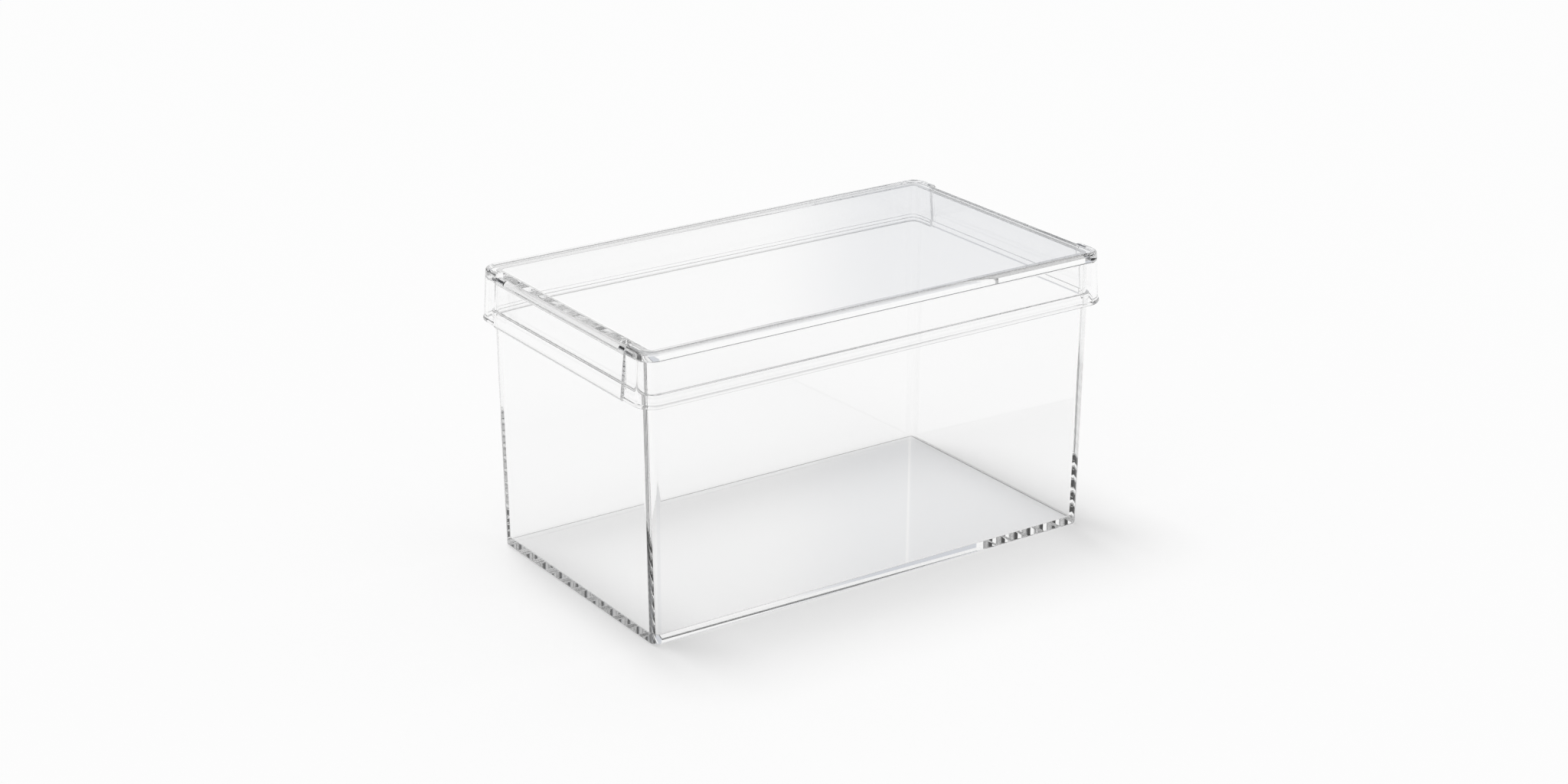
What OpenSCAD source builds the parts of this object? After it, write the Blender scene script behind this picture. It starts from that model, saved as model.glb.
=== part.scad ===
// Clear storage box with a lift-off lid and a hinged flap at each short end.
// Millimetres. +Z is up and the long side runs along X.
// The origin is the centre of the base, on the surface that the box stands on.

/* [Tub] */
// Length of the tub's base
tub_length = 250; // [220:1:280]
// Width of the tub's base
tub_width = 140.5; // [125:0.5:160]
// Height of the shoulder, where the neck steps in
shoulder_height = 122.5; // [90:1:150]
// Thickness of the four walls
wall = 4.2; // [3.5:0.1:5]
// Thickness of the floor
floor_thickness = 3.5; // [2.5:0.1:5]
// How far each side leans out from the base to the shoulder
tub_draft = 1.6; // [0:0.05:2]
// Radius of the upright corners
tub_corner_radius = 4.5; // [3:0.5:6]
// Radius of the outer edge round the base
base_edge_radius = 1; // [0.5:0.1:2]
// Radius of the inner edge round the floor
floor_edge_radius = 1; // [0.5:0.1:2]
// Step in from the shoulder to the neck
neck_rebate = 1.4; // [1:0.1:1.6]
// Height of the neck above the shoulder
neck_height = 16.2; // [12:0.1:20]

/* [Lid] */
// Thickness of the top plate
lid_thickness = 5; // [4.6:0.1:6]
// Reach of the lid past the shoulder on each side
lid_overhang = 3.3; // [3.1:0.1:5]
// Radius of the lid's corners, seen from above
lid_corner_radius = 8; // [7:0.5:12]
// Radius of the edge round the lid's top
lid_edge_radius = 1.8; // [1:0.1:2.5]
// Thickness of the skirt
skirt_thickness = 2.3; // [2:0.1:2.5]
// How far the skirt leans out from top to bottom
skirt_flare = 1.3; // [0.5:0.1:1.6]
// Height of the whole lid, from the skirt's lower edge to the top
lid_height = 26.3; // [23:0.1:28]
// Height of the bead along the skirt's lower edge
bead_height = 2.3; // [1.5:0.1:3]
// How far the bead stands out
bead_proud = 0.6; // [0.3:0.1:0.8]

/* [Flaps] */
// Width of each flap
flap_width = 116; // [90:1:118]
// Gap between a flap's end and the skirt
flap_gap = 1.2; // [0.8:0.1:2]
// Radius of the barrel along the flap's top
barrel_radius = 2.1; // [1.9:0.1:2.2]
// Gap between the barrel and the plate
barrel_gap = 0.3; // [0.3:0.05:0.5]
// Height of the barrel's axis above the plate's underside
barrel_rise = 1.2; // [1:0.1:1.5]
// How far the flap's outer face leans out
flap_flare = 2.2; // [1:0.1:2.4]
// Thickness of the flap at its lower edge
flap_foot = 3; // [2.4:0.1:3.2]

/* [Hinge pins] */
// Radius of each stub pin
pin_radius = 0.9; // [0.8:0.05:1]
// Running clearance between a pin and the flap's bore
pin_clearance = 0.05; // [0.02:0.01:0.1]
// Depth of each pin inside the flap
pin_in_flap = 5.5; // [4:0.5:8]
// Depth of each pin inside the lid's corner
pin_in_lid = 4; // [3:0.5:5]

/* [Hidden] */
// Half sizes of the tub at the base and at the shoulder
base_x = tub_length / 2;
base_y = tub_width / 2;
top_x = base_x + tub_draft;
top_y = base_y + tub_draft;
// Underside and top of the lid's plate
seat_z = shoulder_height + neck_height;
top_z = seat_z + lid_thickness;
skirt_z = top_z - lid_height;
// Half sizes of the lid below its rounded edge, and at the foot of the skirt
lid_x = top_x + lid_overhang;
lid_y = top_y + lid_overhang;
foot_x = lid_x + skirt_flare;
foot_y = lid_y + skirt_flare;
// Axis of the barrel, its distance from the middle and its height
axis_x = lid_x - 1.7;
axis_z = seat_z + barrel_rise;
notch_x = axis_x - barrel_radius - barrel_gap;
notch_y = flap_width / 2 + flap_gap;
// Axes and foot radius of the posts that round the tub's inner corners
in_r = 0.7;
in_x = base_x - wall - in_r;
in_y = base_y - wall - in_r;
clear = [0.86, 0.9, 0.92, 0.4];
steel = [0.62, 0.63, 0.65, 1];

// A solid with rounded upright corners. Each corner is a turned post whose outline is a list of
// [radius, height] points, and half_x and half_y are the distances of the posts' axes.
module corner_posts(half_x, half_y, outline) {
    hull()
        for (sx = [-1, 1])
            for (sy = [-1, 1])
                translate([sx * half_x, sy * half_y, 0])
                    rotate_extrude($fn = 32)
                        polygon(outline);
}

module tub() {
    r = tub_corner_radius;
    e = base_edge_radius;
    color(clear)
        difference() {
            union() {
                corner_posts(base_x - r, base_y - r,
                             [[0, 0],
                              for (a = [90 : -22.5 : 0]) [r - e * (1 - cos(a)), e * (1 - sin(a))],
                              [r + tub_draft, shoulder_height],
                              [0, shoulder_height]]);
                corner_posts(base_x - r, base_y - r,
                             [[0, shoulder_height - 2],
                              [r + tub_draft - neck_rebate, shoulder_height - 2],
                              [r + tub_draft - neck_rebate, seat_z - 0.3],
                              [r + tub_draft - neck_rebate - 0.3, seat_z],
                              [0, seat_z]]);
            }
            corner_posts(in_x, in_y,
                         [[0, floor_thickness],
                          [in_r - 0.5, floor_thickness],
                          [in_r, floor_thickness + floor_edge_radius],
                          [in_r + tub_draft, shoulder_height],
                          [in_r + tub_draft, seat_z + 1],
                          [0, seat_z + 1]]);
        }
}

module lid() {
    r = lid_corner_radius;
    e = lid_edge_radius;
    s = skirt_thickness;
    bead_r = bead_proud + 0.4;
    color(clear)
        difference() {
            union() {
                corner_posts(lid_x - r, lid_y - r,
                             [[0, skirt_z + bead_height / 2],
                              [r + skirt_flare, skirt_z + bead_height / 2],
                              for (a = [0 : 15 : 75])
                                  [r - e * (1 - cos(a)), top_z - e * (1 - sin(a))],
                              [r - e, top_z],
                              [0, top_z]]);
                corner_posts(lid_x - r, lid_y - r,
                             [[0, skirt_z],
                              for (a = [-90 : 30 : 90])
                                  [r + skirt_flare - 0.4 + bead_r * cos(a),
                                   skirt_z + bead_height / 2 * (1 + sin(a))],
                              [0, skirt_z + bead_height]]);
            }
            corner_posts(lid_x - r, lid_y - r,
                         [[0, skirt_z - 1],
                          [r + skirt_flare - s, skirt_z - 1],
                          [r - s, seat_z],
                          [0, seat_z]]);
            for (side = [0, 1])
                mirror([side, 0, 0])
                    end_notch();
        }
}

// Opening in the left end of the lid for the flap, with a blind hole for a pin at each side.
module end_notch() {
    translate([-foot_x - 5, -notch_y, skirt_z - 5])
        cube([foot_x + 5 - notch_x, 2 * notch_y, lid_height + 10]);
    for (sy = [-1, 1])
        translate([-axis_x, sy * (notch_y - 0.5), axis_z])
            rotate([-90 * sy, 0, 0])
                cylinder(r = pin_radius, h = pin_in_lid + 0.5, $fn = 32);
}

// Flap of the left end, hanging from its barrel, with a bore for a pin at each end.
module flap() {
    foot_r = flap_foot / 2;
    foot_u = axis_x + barrel_radius + flap_flare - foot_r;
    foot_z = skirt_z - 0.3 + foot_r;
    difference() {
        translate([0, flap_width / 2, 0])
            rotate([90, 0, 0])
                linear_extrude(height = flap_width)
                    union() {
                        translate([-axis_x, axis_z])
                            circle(r = barrel_radius, $fn = 48);
                        translate([-foot_u, foot_z])
                            circle(r = foot_r, $fn = 48);
                        polygon([[-axis_x, axis_z],
                                 [-axis_x - barrel_radius, axis_z],
                                 [-foot_u - foot_r, foot_z],
                                 [-foot_u + foot_r, foot_z],
                                 [-axis_x - 0.2, axis_z - barrel_radius + 0.1]]);
                    }
        for (sy = [-1, 1])
            translate([-axis_x, sy * (flap_width / 2 - pin_in_flap - 0.5), axis_z])
                rotate([-90 * sy, 0, 0])
                    cylinder(r = pin_radius + pin_clearance, h = pin_in_flap + 1.5, $fn = 32);
    }
}

module flap_left() {
    color(clear)
        flap();
}

module flap_right() {
    color(clear)
        mirror([1, 0, 0])
            flap();
}

// Stub pin across the gap between a flap's end and the lid's corner.
module pin(sx, sy) {
    color(steel)
        translate([sx * axis_x, sy * (flap_width / 2 - pin_in_flap), axis_z])
            rotate([-90 * sy, 0, 0])
                cylinder(r = pin_radius, h = pin_in_flap + flap_gap + pin_in_lid, $fn = 32);
}

module pin_left_front() {
    pin(-1, -1);
}

module pin_left_back() {
    pin(-1, 1);
}

module pin_right_front() {
    pin(1, -1);
}

module pin_right_back() {
    pin(1, 1);
}

tub();
lid();
flap_left();
flap_right();
pin_left_front();
pin_left_back();
pin_right_front();
pin_right_back();
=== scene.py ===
"""Clear storage box: a tub, a lift-off lid and a hinged flap at each short end, in clear acrylic.

Everything is in metres, with the base's centre at the origin, +X along the long side and +Z up.
"""

import logging
import math
from dataclasses import dataclass, field
from enum import Enum

import bmesh
import bpy
from mathutils import Matrix, Vector

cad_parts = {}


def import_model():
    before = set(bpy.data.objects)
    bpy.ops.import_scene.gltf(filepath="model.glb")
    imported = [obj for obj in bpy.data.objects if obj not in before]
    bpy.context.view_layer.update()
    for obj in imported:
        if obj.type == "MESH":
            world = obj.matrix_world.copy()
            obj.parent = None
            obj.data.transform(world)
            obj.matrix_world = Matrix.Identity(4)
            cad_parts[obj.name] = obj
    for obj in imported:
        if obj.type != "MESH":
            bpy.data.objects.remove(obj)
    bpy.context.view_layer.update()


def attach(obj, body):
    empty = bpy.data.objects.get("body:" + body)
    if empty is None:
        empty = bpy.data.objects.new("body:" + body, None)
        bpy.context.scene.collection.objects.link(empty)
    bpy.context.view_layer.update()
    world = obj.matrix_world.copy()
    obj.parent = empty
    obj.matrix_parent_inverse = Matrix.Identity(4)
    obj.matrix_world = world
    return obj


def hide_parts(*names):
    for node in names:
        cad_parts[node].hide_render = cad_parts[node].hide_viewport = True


LOG = logging.getLogger("clear_box")
MM = 0.001
FLOW_WAVES = 26.0  # waves of the moulded surface in a metre
RUB_MARKS = 70.0  # patches of rub marks in a metre


class Slot(Enum):
    """Material slots of the record."""

    TUB = "clear_tub"
    LID = "clear_lid"
    FLAP = "clear_flap"
    PIN = "pin_steel"


# ---------------------------------------------------------------- mesh helpers


@dataclass(frozen=True)
class Tier:
    """One level of a shell: a rectangle with rounded corners, in millimetres.

    half_x and half_y are half its sides, radius is its corner radius and height its place.
    """

    half_x: float
    half_y: float
    radius: float
    height: float


class ShellBuilder:
    """Grows a closed shell tier by tier, from one flat cap to the other."""

    def __init__(self, first: Tier, corner_segments: int = 10) -> None:
        """Draws the first tier.

        Args:
            first: the tier with which the shell starts.
            corner_segments: number of facets in each rounded corner.
        """
        self.mesh = bmesh.new()
        self.at = first
        corners = bmesh.ops.create_grid(self.mesh, x_segments=1, y_segments=1, size=1)["verts"]
        size = Vector((first.half_x * MM, first.half_y * MM, 1))
        bmesh.ops.scale(self.mesh, vec=size, verts=corners)
        bmesh.ops.translate(self.mesh, vec=(0, 0, first.height * MM), verts=corners)
        bmesh.ops.bevel(
            self.mesh,
            geom=corners,
            offset=first.radius * MM,
            offset_type="OFFSET",
            segments=corner_segments,
            profile=0.5,
            affect="VERTICES",
            material=-1,
        )
        self.rim = list(self.mesh.edges)

    def grow(self, tiers: list[Tier]) -> None:
        """Adds a band of wall up to each tier in turn.

        Args:
            tiers: the tiers that follow, in order.
        """
        for tier in tiers:
            made = bmesh.ops.extrude_edge_only(self.mesh, edges=self.rim)["geom"]
            ring = {v for v in made if isinstance(v, bmesh.types.BMVert)}
            self.rim = [e for e in made if isinstance(e, bmesh.types.BMEdge) and ring.issuperset(e.verts)]
            for side in (-1, 1):
                for end in (-1, 1):
                    corner = [v for v in ring if v.co.x * side > 0 and v.co.y * end > 0]
                    self._fit_corner(corner, side, end, tier)
            self.at = tier

    def _fit_corner(self, corner: list, side: int, end: int, tier: Tier) -> None:
        """Resizes one corner about its own centre and moves it to its place in the new tier.

        Args:
            corner: the corner's vertices, still at the last tier.
            side: -1 for the left corners and 1 for the right ones.
            end: -1 for the front corners and 1 for the back ones.
            tier: the new tier.
        """
        old = self.at
        was = Vector((side * (old.half_x - old.radius), end * (old.half_y - old.radius), old.height)) * MM
        new = tier
        now = Vector((side * (new.half_x - new.radius), end * (new.half_y - new.radius), new.height)) * MM
        bigger = new.radius / old.radius
        bmesh.ops.scale(self.mesh, vec=(bigger, bigger, 1), space=Matrix.Translation(-was), verts=corner)
        bmesh.ops.translate(self.mesh, vec=now - was, verts=corner)

    def close(self) -> bmesh.types.BMesh:
        """Closes the last tier with a flat face.

        Returns:
            The finished mesh, with its faces pointing outwards.
        """
        bmesh.ops.contextual_create(self.mesh, geom=self.rim)
        bmesh.ops.recalc_face_normals(self.mesh, faces=self.mesh.faces[:])
        settle_order(self.mesh)
        return self.mesh


def settle_order(mesh: bmesh.types.BMesh) -> None:
    """Sorts a mesh's edges and faces by their vertices, because an extrusion's order varies from run to run.

    Args:
        mesh: the mesh to sort.
    """
    mesh.verts.index_update()
    count = len(mesh.verts)

    def rank(part: bmesh.types.BMEdge | bmesh.types.BMFace) -> int:
        """Makes one number of the part's lowest three vertices."""
        low = sorted(v.index for v in part.verts)[:3]
        return sum(index * count ** (2 - turn) for turn, index in enumerate(low))

    mesh.edges.sort(key=rank)
    mesh.faces.sort(key=rank)


def arc(start: float, end: float, steps: int) -> list[float]:
    """Angles in radians from start to end degrees, both ends included."""
    return [math.radians(start + (end - start) * i / steps) for i in range(steps + 1)]


def to_object(mesh: bmesh.types.BMesh, name: str) -> bpy.types.Object:
    """Turns a finished bmesh into an object at the origin.

    Args:
        mesh: the bmesh, which is freed.
        name: the object's name.

    Returns:
        The new object, linked to the scene.
    """
    data = bpy.data.meshes.new(name)
    mesh.to_mesh(data)
    mesh.free()
    piece = bpy.data.objects.new(name, data)
    bpy.context.scene.collection.objects.link(piece)
    return piece


def carve(piece: bpy.types.Object, cutter: bmesh.types.BMesh) -> None:
    """Takes the cutter's volume out of the piece and keeps the result in its mesh.

    Args:
        piece: the object to cut.
        cutter: closed solids to take away; freed here.
    """
    tool = to_object(cutter, piece.name + "_cutter")
    cut = piece.modifiers.new("cut", "BOOLEAN")
    cut.operation = "DIFFERENCE"
    cut.solver = "EXACT"
    cut.object = tool
    graph = bpy.context.evaluated_depsgraph_get()
    done = bpy.data.meshes.new_from_object(piece.evaluated_get(graph))
    piece.modifiers.clear()
    old = piece.data
    piece.data = done
    bpy.data.meshes.remove(old)
    bpy.data.objects.remove(tool)


def block(mesh: bmesh.types.BMesh, low: Vector, high: Vector) -> None:
    """Adds a rectangular solid.

    Args:
        mesh: where it goes.
        low: its lowest corner, in metres.
        high: its highest corner, in metres.
    """
    made = bmesh.ops.create_cube(mesh, size=1)["verts"]
    bmesh.ops.scale(mesh, vec=high - low, verts=made)
    bmesh.ops.translate(mesh, vec=(low + high) / 2, verts=made)


def rod(mesh: bmesh.types.BMesh, radius: float, start: Vector, end: Vector) -> list:
    """Adds a closed round rod along Y.

    Args:
        mesh: where it goes.
        radius: its radius in metres.
        start: centre of one end, in metres.
        end: centre of the other end, in metres.

    Returns:
        Its vertices.
    """
    made = bmesh.ops.create_cone(
        mesh,
        cap_ends=True,
        segments=32,
        radius1=radius,
        radius2=radius,
        depth=(end - start).length,
        matrix=Matrix.Translation((start + end) / 2) @ Matrix.Rotation(math.pi / 2, 4, "X"),
    )
    return made["verts"]


def finish_surface(piece: bpy.types.Object, sharp_degrees: float = 40) -> None:
    """Smooths the rounded edges and keeps the flat faces flat.

    Args:
        piece: the object to shade.
        sharp_degrees: edges steeper than this stay sharp.
    """
    data = piece.data
    data.shade_smooth()
    data.set_sharp_from_angle(angle=math.radians(sharp_degrees))
    weighted = piece.modifiers.new("flat_faces_stay_flat", "WEIGHTED_NORMAL")
    weighted.mode = "FACE_AREA"
    weighted.keep_sharp = True
    weighted.weight = 100


def place(
    piece: bpy.types.Object,
    body: str,
    nodes: tuple[str, ...],
    finish: "ClearAcrylic | DrawnSteel",
) -> None:
    """Gives a piece its body and its material, and hides the CAD nodes that it stands for.

    Args:
        piece: the finished object.
        body: name of the CAD body that it moves with.
        nodes: CAD nodes that it replaces.
        finish: the finish whose material it wears.
    """
    piece.data.materials.clear()
    piece.data.materials.append(finish.material())
    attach(piece, body)
    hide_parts(*nodes)
    LOG.info("%s: %d faces, rides on %s", piece.name, len(piece.data.polygons), body)


# ------------------------------------------------------------------- finishes


def socket_in(tree: bpy.types.NodeTree, name: str, kind: str, value: float) -> None:
    """Adds a named input with a default value to a node group."""
    made = tree.interface.new_socket(name=name, in_out="INPUT", socket_type=kind)
    made.default_value = value


def moulded_surface() -> bpy.types.NodeTree:
    """Builds, once, the group for a moulded surface: faint flow waviness and rub marks.

    Returns:
        A group with the inputs Scale, Smooth and Haze and the outputs Height and Roughness. Smooth and
        Haze are the roughness of the clean and of the rubbed places.
    """
    known = bpy.data.node_groups.get("moulded_surface")
    if known:
        return known
    tree = bpy.data.node_groups.new("moulded_surface", "ShaderNodeTree")
    socket_in(tree, "Scale", "NodeSocketFloat", 1.0)
    socket_in(tree, "Smooth", "NodeSocketFloat", 0.004)
    socket_in(tree, "Haze", "NodeSocketFloat", 0.01)
    for name in ("Height", "Roughness"):
        tree.interface.new_socket(name=name, in_out="OUTPUT", socket_type="NodeSocketFloat")
    nodes, links = tree.nodes, tree.links
    inp, out = nodes.new("NodeGroupInput"), nodes.new("NodeGroupOutput")
    coord = nodes.new("ShaderNodeTexCoord")
    wave = nodes.new("ShaderNodeTexNoise")
    wave.inputs["Detail"].default_value = 1.0
    links.new(coord.outputs["Object"], wave.inputs["Vector"])
    grow = nodes.new("ShaderNodeMath")
    grow.operation = "MULTIPLY"
    grow.inputs[1].default_value = FLOW_WAVES
    links.new(inp.outputs["Scale"], grow.inputs[0])
    links.new(grow.outputs[0], wave.inputs["Scale"])
    links.new(wave.outputs["Fac"], out.inputs["Height"])
    rub = nodes.new("ShaderNodeTexNoise")
    rub.inputs["Scale"].default_value = RUB_MARKS
    rub.inputs["Detail"].default_value = 6.0
    links.new(coord.outputs["Object"], rub.inputs["Vector"])
    spread = nodes.new("ShaderNodeMapRange")
    spread.inputs["From Min"].default_value = 0.45
    spread.inputs["From Max"].default_value = 0.8
    links.new(rub.outputs["Fac"], spread.inputs["Value"])
    links.new(inp.outputs["Smooth"], spread.inputs["To Min"])
    links.new(inp.outputs["Haze"], spread.inputs["To Max"])
    links.new(spread.outputs["Result"], out.inputs["Roughness"])
    return tree


@dataclass(frozen=True)
class ClearAcrylic:
    """Clear moulded acrylic: near-colourless, glossy, with faint waviness and rub marks."""

    name: str
    tint: tuple[float, float, float] = (0.99, 0.99, 0.99)
    ior: float = 1.49
    smooth: float = 0.0
    haze: float = 0.008
    wave_mm: float = 0.001
    wave_scale: float = 1.0
    lamp_share: float = 0.985

    def material(self) -> bpy.types.Material:
        """Makes the material, or finds it if it is there already.

        Returns:
            The material.
        """
        known = bpy.data.materials.get(self.name)
        if known:
            return known
        made = bpy.data.materials.new(self.name)
        made.use_nodes = True
        nodes, links = made.node_tree.nodes, made.node_tree.links
        shader = nodes["Principled BSDF"]
        shader.inputs["Base Color"].default_value = (*self.tint, 1)
        shader.inputs["Metallic"].default_value = 0
        shader.inputs["Transmission Weight"].default_value = 1
        shader.inputs["IOR"].default_value = self.ior
        surface = nodes.new("ShaderNodeGroup")
        surface.node_tree = moulded_surface()
        surface.inputs["Scale"].default_value = self.wave_scale
        surface.inputs["Smooth"].default_value = self.smooth
        surface.inputs["Haze"].default_value = self.haze
        links.new(surface.outputs["Roughness"], shader.inputs["Roughness"])
        bump = nodes.new("ShaderNodeBump")
        bump.inputs["Strength"].default_value = 1
        bump.inputs["Distance"].default_value = self.wave_mm * MM
        links.new(surface.outputs["Height"], bump.inputs["Height"])
        links.new(bump.outputs["Normal"], shader.inputs["Normal"])
        clear = nodes.new("ShaderNodeBsdfTransparent")
        links.new(self._lamp_share(made.node_tree), clear.inputs["Color"])
        path = nodes.new("ShaderNodeLightPath")
        mix = nodes.new("ShaderNodeMixShader")
        either = nodes.new("ShaderNodeMath")
        either.operation = "MAXIMUM"
        links.new(path.outputs["Is Shadow Ray"], either.inputs[0])
        links.new(path.outputs["Is Diffuse Ray"], either.inputs[1])
        links.new(either.outputs[0], mix.inputs[0])
        links.new(shader.outputs[0], mix.inputs[1])
        links.new(clear.outputs[0], mix.inputs[2])
        links.new(mix.outputs[0], nodes["Material Output"].inputs["Surface"])
        return made

    def _lamp_share(self, tree: bpy.types.NodeTree) -> bpy.types.NodeSocket:
        """Share of a lamp's light that one face passes on: less where it meets the face at a low angle.

        Args:
            tree: the material's node tree.

        Returns:
            The socket with the share. A face is as clear from the inside as from the outside.
        """
        nodes, links = tree.nodes, tree.links
        side = nodes.new("ShaderNodeNewGeometry")
        sign = nodes.new("ShaderNodeMath")
        sign.operation = "MULTIPLY_ADD"
        sign.inputs[1].default_value = -2
        sign.inputs[2].default_value = 1
        links.new(side.outputs["Backfacing"], sign.inputs[0])
        index = nodes.new("ShaderNodeMath")
        index.operation = "POWER"
        index.inputs[0].default_value = self.ior
        links.new(sign.outputs[0], index.inputs[1])
        mirrored = nodes.new("ShaderNodeFresnel")
        links.new(index.outputs[0], mirrored.inputs["IOR"])
        share = nodes.new("ShaderNodeMapRange")
        share.inputs["From Min"].default_value = 0.06
        share.inputs["From Max"].default_value = 1.1
        share.inputs["To Min"].default_value = self.lamp_share
        share.inputs["To Max"].default_value = 0
        links.new(mirrored.outputs[0], share.inputs["Value"])
        return share.outputs["Result"]


@dataclass(frozen=True)
class DrawnSteel:
    """Bright drawn steel wire with fine turning marks."""

    name: str = "drawn_steel"
    colour: tuple[float, float, float] = (0.5, 0.51, 0.53)
    rough: float = 0.3

    def material(self) -> bpy.types.Material:
        """Makes the material, or finds it if it is there already.

        Returns:
            The material.
        """
        known = bpy.data.materials.get(self.name)
        if known:
            return known
        made = bpy.data.materials.new(self.name)
        made.use_nodes = True
        nodes, links = made.node_tree.nodes, made.node_tree.links
        shader = nodes["Principled BSDF"]
        shader.inputs["Base Color"].default_value = (*self.colour, 1)
        shader.inputs["Metallic"].default_value = 1
        coord = nodes.new("ShaderNodeTexCoord")
        stretch = nodes.new("ShaderNodeMapping")
        stretch.inputs["Scale"].default_value = (1, 0.05, 1)
        marks = nodes.new("ShaderNodeTexNoise")
        marks.inputs["Scale"].default_value = 2500
        span = nodes.new("ShaderNodeMapRange")
        span.inputs["To Min"].default_value = self.rough - 0.1
        span.inputs["To Max"].default_value = self.rough + 0.15
        links.new(coord.outputs["Object"], stretch.inputs["Vector"])
        links.new(stretch.outputs["Vector"], marks.inputs["Vector"])
        links.new(marks.outputs["Fac"], span.inputs["Value"])
        links.new(span.outputs["Result"], shader.inputs["Roughness"])
        return made


# --------------------------------------------------------------- sub-assemblies


@dataclass
class Tub:
    """The open tub: drafted walls, a shoulder and a thinner neck above it. Millimetres.

    rim_gap is air between the rim and the lid. Faces that touch exactly would turn the edge black.
    """

    half_length: float = 125.0
    half_width: float = 70.25
    shoulder: float = 122.5
    draft: float = 1.6
    corner: float = 4.5
    wall: float = 4.2
    floor: float = 3.5
    base_edge: float = 1.0
    floor_edge: float = 1.0
    inner_corner: float = 0.7
    rebate: float = 1.4
    neck: float = 16.2
    rim_gap: float = 0.05
    rim_edge: float = 0.3
    shoulder_edge: float = 0.25
    shoulder_root: float = 0.35
    floor_corner: float = 0.5
    finish: ClearAcrylic = field(default_factory=lambda: ClearAcrylic("acrylic_tub"))

    @property
    def seat(self) -> float:
        """Height of the neck's rim, on which the lid rests."""
        return self.shoulder + self.neck

    def tier(self, step_in: float, height: float, radius: float | None = None) -> Tier:
        """One level, set in from the drafted outside.

        Args:
            step_in: distance in from the outside face.
            height: height above the base.
            radius: corner radius; it follows the outside when left out.

        Returns:
            The tier.
        """
        grow = self.draft * min(height, self.shoulder) / self.shoulder
        return Tier(
            self.half_length + grow - step_in,
            self.half_width + grow - step_in,
            self.corner + grow - step_in if radius is None else radius,
            height,
        )

    def outside(self) -> list[Tier]:
        """Shapes the outside.

        Returns:
            The tiers from the middle of the base up the outside to the neck's rim.
        """
        e, s, r = self.base_edge, self.shoulder, self.rebate
        base = [
            Tier(
                self.half_length - e * (1 - math.cos(a)),
                self.half_width - e * (1 - math.cos(a)),
                self.corner - e * (1 - math.cos(a)),
                e * (1 - math.sin(a)),
            )
            for a in arc(90, 0, 6)
        ]
        k = self.shoulder_edge
        edge = [self.tier(k * (1 - math.cos(a)), s - k * (1 - math.sin(a))) for a in arc(0, 90, 3)]
        k = self.shoulder_root
        root = [self.tier(r - k * (1 - math.sin(a)), s + k * (1 - math.cos(a))) for a in arc(0, 90, 3)]
        k, top = self.rim_edge, self.seat - self.rim_gap
        rim = [self.tier(r + k * (1 - math.cos(a)), top - k * (1 - math.sin(a))) for a in arc(0, 90, 3)]
        return base + edge + root + rim

    def inside(self) -> list[Tier]:
        """Shapes the inside.

        Returns:
            The tiers from the neck's rim down the inside to the floor.
        """
        c, e, w = self.inner_corner, self.floor_edge, self.wall
        k, top = self.rim_edge, self.seat - self.rim_gap
        grow = c + self.draft
        rim = [
            self.tier(w - k * (1 - math.cos(a)), top - k * (1 - math.sin(a)), grow) for a in arc(90, 0, 3)
        ]
        low = [
            self.tier(
                w + e * (1 - math.cos(a)),
                self.floor + e * (1 - math.sin(a)),
                c - self.floor_corner * (1 - math.cos(a)),
            )
            for a in arc(0, 90, 4)
        ]
        return rim + [self.tier(w, self.shoulder, grow)] + low

    def build(self) -> None:
        """Builds and dresses the tub."""
        tiers = self.outside() + self.inside()
        shell = ShellBuilder(tiers[0])
        shell.grow(tiers[1:])
        piece = to_object(shell.close(), "tub_shell")
        finish_surface(piece)
        place(piece, "tub", ("tub",), self.finish)


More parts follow.
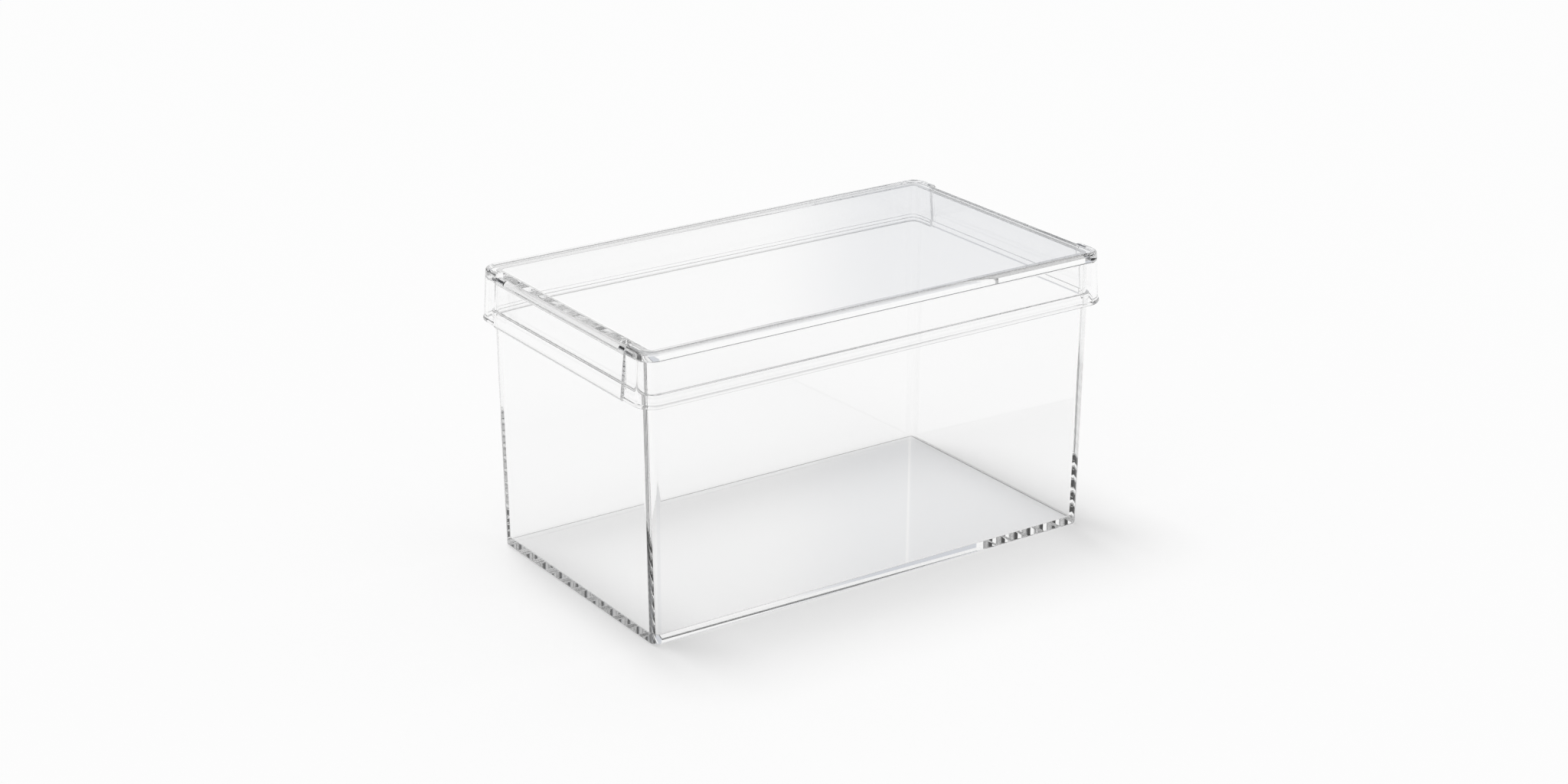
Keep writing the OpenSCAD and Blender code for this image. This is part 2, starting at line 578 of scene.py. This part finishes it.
@dataclass
class Lid:
    """The lid: a thick plate with a rounded edge, a flared skirt with a bead, and two end notches.

    Millimetres. barrel_space is the room from the flaps' axis to the plate.
    """

    tub: Tub
    plate: float = 5.0
    overhang: float = 3.3
    corner: float = 8.0
    edge: float = 1.8
    skirt: float = 2.3
    flare: float = 1.3
    height: float = 26.3
    bead: float = 2.3
    bead_proud: float = 0.6
    bead_sunk: float = 0.4
    lip: float = 0.3
    root: float = 0.8
    hinge_in: float = 1.7
    hinge_up: float = 1.2
    barrel_space: float = 2.4
    spare: float = 4.0
    notch_half: float = 59.2
    pin: float = 0.9
    pin_depth: float = 4.0
    finish: ClearAcrylic = field(default_factory=lambda: ClearAcrylic("acrylic_lid"))

    @property
    def top(self) -> float:
        """Height of the lid's top face."""
        return self.tub.seat + self.plate

    @property
    def foot(self) -> float:
        """Height of the skirt's lower edge."""
        return self.top - self.height

    @property
    def half_x(self) -> float:
        """Half the plate's length."""
        return self.tub.half_length + self.tub.draft + self.overhang

    @property
    def half_y(self) -> float:
        """Half the plate's width."""
        return self.tub.half_width + self.tub.draft + self.overhang

    @property
    def hinge(self) -> tuple[float, float]:
        """Distance from the middle and height of the flaps' axis."""
        return self.half_x - self.hinge_in, self.tub.seat + self.hinge_up

    def tier(self, out: float, height: float) -> Tier:
        """One level, set out from the plate's side, with its corner centres kept."""
        return Tier(self.half_x + out, self.half_y + out, self.corner + out, height)

    def tiers(self) -> list[Tier]:
        """Shapes the whole lid without its notches.

        Returns:
            The tiers from the middle of the top, round the skirt, to the middle of the underside.
        """
        e, f, h = self.edge, self.flare, self.bead
        top = [self.tier(-e * (1 - math.cos(a)), self.top - e * (1 - math.sin(a))) for a in arc(90, 0, 8)]
        waist = [self.tier(f, self.foot + h + 0.5)]
        sunk = self.bead_sunk
        proud = self.bead_proud + sunk
        bead = [
            self.tier(f - sunk + proud * math.cos(a), self.foot + h / 2 * (1 + math.sin(a)))
            for a in arc(66, -90, 8)
        ]
        k, within = self.lip, f - self.skirt
        inner = [
            self.tier(within + k * (1 - math.cos(a)), self.foot + k * (1 - math.sin(a)))
            for a in arc(90, 0, 3)
        ]
        k, seat = self.root, self.tub.seat
        up = [
            self.tier(-self.skirt - k * (1 - math.cos(a)), seat - k * (1 - math.sin(a)))
            for a in arc(0, 90, 4)
        ]
        return top + waist + bead + inner + up

    def notches(self) -> bmesh.types.BMesh:
        """Makes the cutters for the notches in which the flaps hang.

        Returns:
            Two blocks in one mesh.
        """
        cutter = bmesh.new()
        inner = self.hinge[0] - self.barrel_space
        for side in (-1, 1):
            low, high = sorted((side * inner, side * (self.half_x + 2 * self.spare)))
            block(
                cutter,
                Vector((low, -self.notch_half, self.foot - self.spare)) * MM,
                Vector((high, self.notch_half, self.top + self.spare)) * MM,
            )
        return cutter

    def pin_holes(self) -> bmesh.types.BMesh:
        """Makes the cutters for the pins' blind holes.

        Returns:
            Four rods in one mesh.
        """
        cutter = bmesh.new()
        u, z = self.hinge
        near, far = self.notch_half - 0.5, self.notch_half + self.pin_depth
        for side in (-1, 1):
            for end in (-1, 1):
                start, stop = (Vector((side * u, end * y, z)) * MM for y in (near, far))
                rod(cutter, self.pin * MM, start, stop)
        return cutter

    def build(self) -> None:
        """Builds and dresses the lid."""
        tiers = self.tiers()
        shell = ShellBuilder(tiers[0], 14)
        shell.grow(tiers[1:])
        piece = to_object(shell.close(), "lid_shell")
        carve(piece, self.notches())
        carve(piece, self.pin_holes())
        finish_surface(piece)
        place(piece, "lid", ("lid",), self.finish)


@dataclass
class Flap:
    """A flap that hangs from its barrel at one short end. Millimetres."""

    lid: Lid
    side: int
    half_width: float = 58.0
    barrel: float = 2.1
    flare: float = 2.2
    foot: float = 3.0
    drop: float = 0.3
    bore: float = 0.95
    bore_depth: float = 5.5
    finish: ClearAcrylic = field(default_factory=lambda: ClearAcrylic("acrylic_flap"))

    @property
    def name(self) -> str:
        """Name of the CAD node and body."""
        return "flap_left" if self.side < 0 else "flap_right"

    @property
    def foot_circle(self) -> tuple[float, float]:
        """Places the rounded lower edge.

        Returns:
            The distance of its centre from the middle, and the centre's height.
        """
        u, _ = self.lid.hinge
        half = self.foot / 2
        return u + self.barrel + self.flare - half, self.lid.foot - self.drop + half

    def point(self, u: float, z: float) -> Vector:
        """A point of the front end's cross-section, from its distance from the middle and its height."""
        return Vector((self.side * u, -self.half_width, z)) * MM

    def round_part(self, shape: bmesh.types.BMesh, start: Vector, centre: Vector, degrees: float) -> tuple:
        """Turns a point about a centre into an arc of the cross-section.

        Args:
            shape: where the arc goes.
            start: the arc's first point.
            centre: the centre of the turn.
            degrees: how far it turns, from the outside over the top towards the middle.

        Returns:
            The arc's first and last vertices.
        """
        first = shape.verts.new(start)
        made = bmesh.ops.spin(
            shape,
            geom=[first],
            cent=centre,
            axis=(0, -self.side, 0),
            angle=math.radians(degrees),
            steps=max(2, round(abs(degrees) / 9)),
        )
        last = next(v for v in made["geom_last"] if isinstance(v, bmesh.types.BMVert))
        return first, last

    def build(self) -> None:
        """Builds and dresses the flap."""
        shape = bmesh.new()
        u, z = self.lid.hinge
        foot_u, foot_z = self.foot_circle
        half = self.foot / 2
        barrel = self.round_part(shape, self.point(u + self.barrel, z), self.point(u, z), 264)
        lip = self.round_part(shape, self.point(foot_u - half, foot_z), self.point(foot_u, foot_z), 180)
        shape.edges.new((barrel[1], lip[0]))
        shape.edges.new((lip[1], barrel[0]))
        bmesh.ops.contextual_create(shape, geom=shape.edges[:])
        grown = bmesh.ops.extrude_face_region(shape, geom=shape.faces[:])
        moved = [v for v in grown["geom"] if isinstance(v, bmesh.types.BMVert)]
        bmesh.ops.translate(shape, vec=(0, 2 * self.half_width * MM, 0), verts=moved)
        bmesh.ops.recalc_face_normals(shape, faces=shape.faces[:])
        ends = [e for e in shape.edges if abs(e.verts[0].co.y - e.verts[1].co.y) < 1e-6]
        bmesh.ops.bevel(
            shape, geom=ends, offset=0.15 * MM, segments=2, profile=0.5, affect="EDGES", material=-1
        )
        piece = to_object(shape, self.name + "_plate")
        cutter = bmesh.new()
        for end in (-1, 1):
            near, far = self.half_width - self.bore_depth, self.half_width + 1
            start, stop = (Vector((self.side * u, end * y, z)) * MM for y in (near, far))
            rod(cutter, self.bore * MM, start, stop)
        carve(piece, cutter)
        finish_surface(piece)
        place(piece, self.name, (self.name,), self.finish)


@dataclass
class HingePins:
    """The four stub pins that carry the flaps. Millimetres."""

    lid: Lid
    radius: float = 0.9
    inner: float = 52.5
    finish: DrawnSteel = field(default_factory=DrawnSteel)

    def build(self) -> None:
        """Builds and dresses each pin."""
        u, z = self.lid.hinge
        outer = self.lid.notch_half + self.lid.pin_depth
        for side, where in ((-1, "left"), (1, "right")):
            for end, depth in ((-1, "front"), (1, "back")):
                mesh = bmesh.new()
                start, stop = (Vector((side * u, end * y, z)) * MM for y in (self.inner, outer))
                rod(mesh, self.radius * MM, start, stop)
                rims = [e for e in mesh.edges if len({round(v.co.y, 7) for v in e.verts}) == 1]
                bmesh.ops.bevel(
                    mesh, geom=rims, offset=0.15 * MM, segments=2, profile=0.5, affect="EDGES", material=-1
                )
                bmesh.ops.recalc_face_normals(mesh, faces=mesh.faces[:])
                node = f"pin_{where}_{depth}"
                piece = to_object(mesh, node + "_wire")
                finish_surface(piece)
                place(piece, "lid", (node,), self.finish)


# ---------------------------------------------------------------------- studio


@dataclass(frozen=True)
class Card:
    """A soft-edged card of the studio, by the directions in which it stands. Degrees.

    azimuth is 0 towards +Y and 90 towards +X. low and high are its lower and upper edges.
    """

    azimuth: float
    half_width: float
    low: float
    high: float
    soft: float
    colour: tuple[float, float, float]


def soft_card() -> bpy.types.NodeTree:
    """Builds, once, the group that masks a soft-edged card of the studio.

    Returns:
        A group with the inputs Azimuth, Half Width, Low, High and Soft in degrees and the output Mask.
    """
    tree = bpy.data.node_groups.new("soft_card", "ShaderNodeTree")
    for name in ("Azimuth", "Half Width", "Low", "High", "Soft"):
        socket_in(tree, name, "NodeSocketFloat", 0.0)
    tree.interface.new_socket(name="Mask", in_out="OUTPUT", socket_type="NodeSocketFloat")
    nodes, links = tree.nodes, tree.links
    inp, out = nodes.new("NodeGroupInput"), nodes.new("NodeGroupOutput")

    def value(source: object, socket: bpy.types.NodeSocket) -> None:
        """Links a socket or sets a number.

        Args:
            source: a socket or a number.
            socket: the input that takes it.
        """
        if isinstance(source, bpy.types.NodeSocket):
            links.new(source, socket)
        else:
            socket.default_value = source

    def maths(operation: str, *terms: object) -> bpy.types.NodeSocket:
        """Adds a Math node.

        Args:
            operation: the node's operation.
            terms: its sockets or numbers, in order.

        Returns:
            The node's output.
        """
        node = nodes.new("ShaderNodeMath")
        node.operation = operation
        for term, socket in zip(terms, node.inputs):
            value(term, socket)
        return node.outputs[0]

    def fade(amount: object, start: object, end: object) -> bpy.types.NodeSocket:
        """Adds a smooth step from 0 at start to 1 at end.

        Args:
            amount: what is measured.
            start: where the step begins.
            end: where it ends.

        Returns:
            The step's output.
        """
        node = nodes.new("ShaderNodeMapRange")
        node.interpolation_type = "SMOOTHSTEP"
        value(amount, node.inputs["Value"])
        value(start, node.inputs["From Min"])
        value(end, node.inputs["From Max"])
        return node.outputs["Result"]

    where = nodes.new("ShaderNodeSeparateXYZ")
    links.new(nodes.new("ShaderNodeTexCoord").outputs["Generated"], where.inputs[0])
    turn = maths("DEGREES", maths("ARCTAN2", where.outputs[0], where.outputs[1]))
    rise = maths("DEGREES", maths("ARCSINE", where.outputs[2]))
    across = maths("ABSOLUTE", maths("WRAP", maths("SUBTRACT", turn, inp.outputs["Azimuth"]), 180.0, -180.0))
    soft = inp.outputs["Soft"]
    half, low, high = (inp.outputs[name] for name in ("Half Width", "Low", "High"))
    side = fade(across, maths("ADD", half, soft), maths("SUBTRACT", half, soft))
    foot = fade(rise, maths("SUBTRACT", low, soft), maths("ADD", low, soft))
    head = fade(rise, maths("ADD", high, soft), maths("SUBTRACT", high, soft))
    links.new(maths("MULTIPLY", side, maths("MULTIPLY", foot, head)), out.inputs["Mask"])
    return tree


@dataclass
class Studio:
    """White floor, the surroundings that clear parts mirror, soft key light and the camera.

    The floor lies floor_drop millimetres under the base, which keeps the base's clear look. A later
    card covers an earlier one, and room is the level where no card stands.
    """

    azimuth: float = -0.5972
    elevation: float = 0.3662
    focal_px: float = 3625.7
    distance: float = 1.3808
    origin_px: tuple[float, float] = (1036.46, 695.49)
    image: tuple[int, int] = (2048, 1024)
    passes: int = 72
    room: tuple[float, float, float] = (0.03, 0.03, 0.03)
    ambient: float = 0.54
    key_strength: float = 1.55
    key_from: tuple[float, float, float] = (-0.05, 0.32, 1.0)
    key_degrees: float = 24
    floor_drop: float = 0.3
    cards: tuple[Card, ...] = (
        Card(180, 62, 8, 34, 6, (0.45, 0.45, 0.45)),
        Card(40, 24, 8, 34, 5, (0.62, 0.64, 0.68)),
        Card(13, 22, 8, 34, 1.5, (0.95, 0.95, 0.95)),
        Card(-75, 26, 8, 60, 8, (0.35, 0.35, 0.35)),
        Card(-40, 75, 54, 92, 6, (0.95, 0.95, 0.95)),
        Card(0, 181, -95, 4, 2, (0.85, 0.85, 0.85)),
    )

    def camera(self) -> None:
        """Adds the camera at the photograph's viewpoint."""
        az, el = self.azimuth, self.elevation
        back = Vector((math.sin(az) * math.cos(el), -math.cos(az) * math.cos(el), math.sin(el)))
        right = (-back).cross(Vector((0, 0, 1))).normalized()
        up = right.cross(-back)
        per = self.distance / self.focal_px
        across = (self.origin_px[0] - self.image[0] / 2) * per
        upward = -(self.origin_px[1] - self.image[1] / 2) * per
        data = bpy.data.cameras.new("view")
        data.sensor_width = 36
        data.sensor_fit = "HORIZONTAL"
        data.lens = self.focal_px / self.image[0] * 36
        data.clip_end = 50
        cam = bpy.data.objects.new("view", data)
        cam.matrix_world = Matrix.Translation(back * self.distance - right * across - up * upward) @ Matrix(
            (
                (right.x, up.x, back.x, 0),
                (right.y, up.y, back.y, 0),
                (right.z, up.z, back.z, 0),
                (0, 0, 0, 1),
            )
        )
        bpy.context.scene.collection.objects.link(cam)
        bpy.context.scene.camera = cam

    def floor(self) -> None:
        """Adds the plain pale floor."""
        mesh = bmesh.new()
        made = bmesh.ops.create_grid(mesh, x_segments=1, y_segments=1, size=6)
        bmesh.ops.translate(mesh, vec=(0, 0, -self.floor_drop * MM), verts=made["verts"])
        piece = to_object(mesh, "floor")
        made = bpy.data.materials.new("white_floor")
        made.use_nodes = True
        shader = made.node_tree.nodes["Principled BSDF"]
        shader.inputs["Base Color"].default_value = (0.97, 0.97, 0.97, 1)
        shader.inputs["Roughness"].default_value = 0.9
        shader.inputs["Specular IOR Level"].default_value = 0
        piece.data.materials.append(made)

    def surroundings(self) -> None:
        """Sets the studio that clear parts mirror, and a plain white for everything else."""
        world = bpy.data.worlds.new("studio")
        bpy.context.scene.world = world
        world.use_nodes = True
        world.cycles.sampling_method = "NONE"
        nodes, links = world.node_tree.nodes, world.node_tree.links
        plain = nodes["Background"]
        group = soft_card()
        seen = None
        for card in self.cards:
            mask = nodes.new("ShaderNodeGroup")
            mask.node_tree = group
            for name, amount in zip(
                ("Azimuth", "Half Width", "Low", "High", "Soft"),
                (card.azimuth, card.half_width, card.low, card.high, card.soft),
            ):
                mask.inputs[name].default_value = amount
            seen = self._mix(world.node_tree, mask.outputs["Mask"], seen, self.room, card.colour)
        path = nodes.new("ShaderNodeLightPath")
        mirrored = nodes.new("ShaderNodeMath")
        mirrored.operation = "MAXIMUM"
        links.new(path.outputs["Is Glossy Ray"], mirrored.inputs[0])
        links.new(path.outputs["Is Transmission Ray"], mirrored.inputs[1])
        level = (self.ambient,) * 3
        lit = self._mix(world.node_tree, path.outputs["Is Camera Ray"], None, level, (1.0, 1.0, 1.0))
        final = self._mix(world.node_tree, mirrored.outputs[0], lit, level, seen)
        links.new(final, plain.inputs["Color"])
        plain.inputs["Strength"].default_value = 1.0

    @staticmethod
    def _mix(tree: bpy.types.NodeTree, share: object, first: object, colour: tuple, second: object) -> object:
        """Mixes two colours.

        Args:
            tree: the world's node tree.
            share: the socket with the second colour's share.
            first: the first colour's socket, or None for the plain colour.
            colour: the plain colour.
            second: the second colour, as a socket or a plain colour.

        Returns:
            The socket with the mixed colour.
        """
        mix = tree.nodes.new("ShaderNodeMix")
        mix.data_type = "RGBA"
        tree.links.new(share, mix.inputs["Factor"])
        for source, socket in ((first or colour, mix.inputs[6]), (second, mix.inputs[7])):
            if isinstance(source, tuple):
                socket.default_value = (*source, 1)
            else:
                tree.links.new(source, socket)
        return mix.outputs[2]

    def key(self) -> None:
        """Adds the soft key light, high up and a little behind the box.

        Clear parts don't mirror it, because its glare would turn the lid white from above.
        """
        data = bpy.data.lights.new("key", "SUN")
        data.energy = self.key_strength
        data.angle = math.radians(self.key_degrees)
        lamp = bpy.data.objects.new("key", data)
        lamp.rotation_euler = Vector(self.key_from).to_track_quat("Z", "Y").to_euler()
        lamp.visible_glossy = False
        lamp.visible_transmission = False
        bpy.context.scene.collection.objects.link(lamp)

    def light_paths(self) -> None:
        """Lets light pass through the many clear walls that lie one behind another."""
        cycles = bpy.context.scene.cycles
        cycles.max_bounces = self.passes
        cycles.transmission_bounces = self.passes
        cycles.glossy_bounces = self.passes
        cycles.transparent_max_bounces = self.passes
        bpy.context.scene.view_settings.view_transform = "Standard"

    def build(self) -> None:
        """Builds the whole stage."""
        self.light_paths()
        self.camera()
        self.floor()
        self.surroundings()
        self.key()


def main() -> None:
    """Builds the stage and the box."""
    logging.basicConfig(level=logging.INFO, format="%(name)s: %(message)s")
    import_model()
    Studio().build()
    tub = Tub()
    lid = Lid(tub)
    tub.build()
    lid.build()
    for side in (-1, 1):
        Flap(lid, side).build()
    HingePins(lid).build()


if __name__ == "__main__":
    main()
